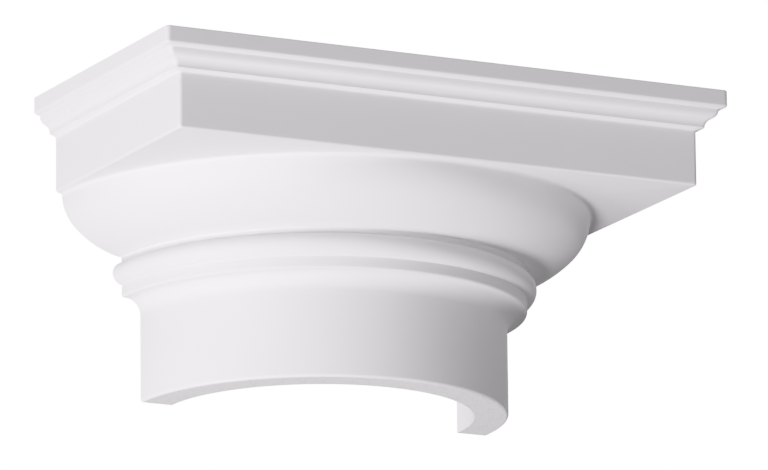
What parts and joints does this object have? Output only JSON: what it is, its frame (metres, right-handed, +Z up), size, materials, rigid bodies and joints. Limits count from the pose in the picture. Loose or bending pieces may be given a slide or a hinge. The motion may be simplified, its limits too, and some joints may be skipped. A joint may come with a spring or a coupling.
{
  "type": "half column capital",
  "caption": "Half-round column capital with a half-square moulded abacus, echinus, astragal and neck, made to sit over a half column against a wall.",
  "frame": {"origin": "bottom centre of the bounding box: x = 0 is the column's axis, z = 0 the underside of the neck, y halfway between the wall plane and the front of the abacus", "axes": "+X to the right along the wall, +Y into the wall, +Z up; the front faces -Y"},
  "size_m": [0.3194, 0.1598, 0.1552],
  "materials": {
    "white_primer": "smooth matte white primer on rigid moulded foam"
  },
  "bodies": {
    "root": {"half_capital": "white_primer"}
  },
  "joints": []
}
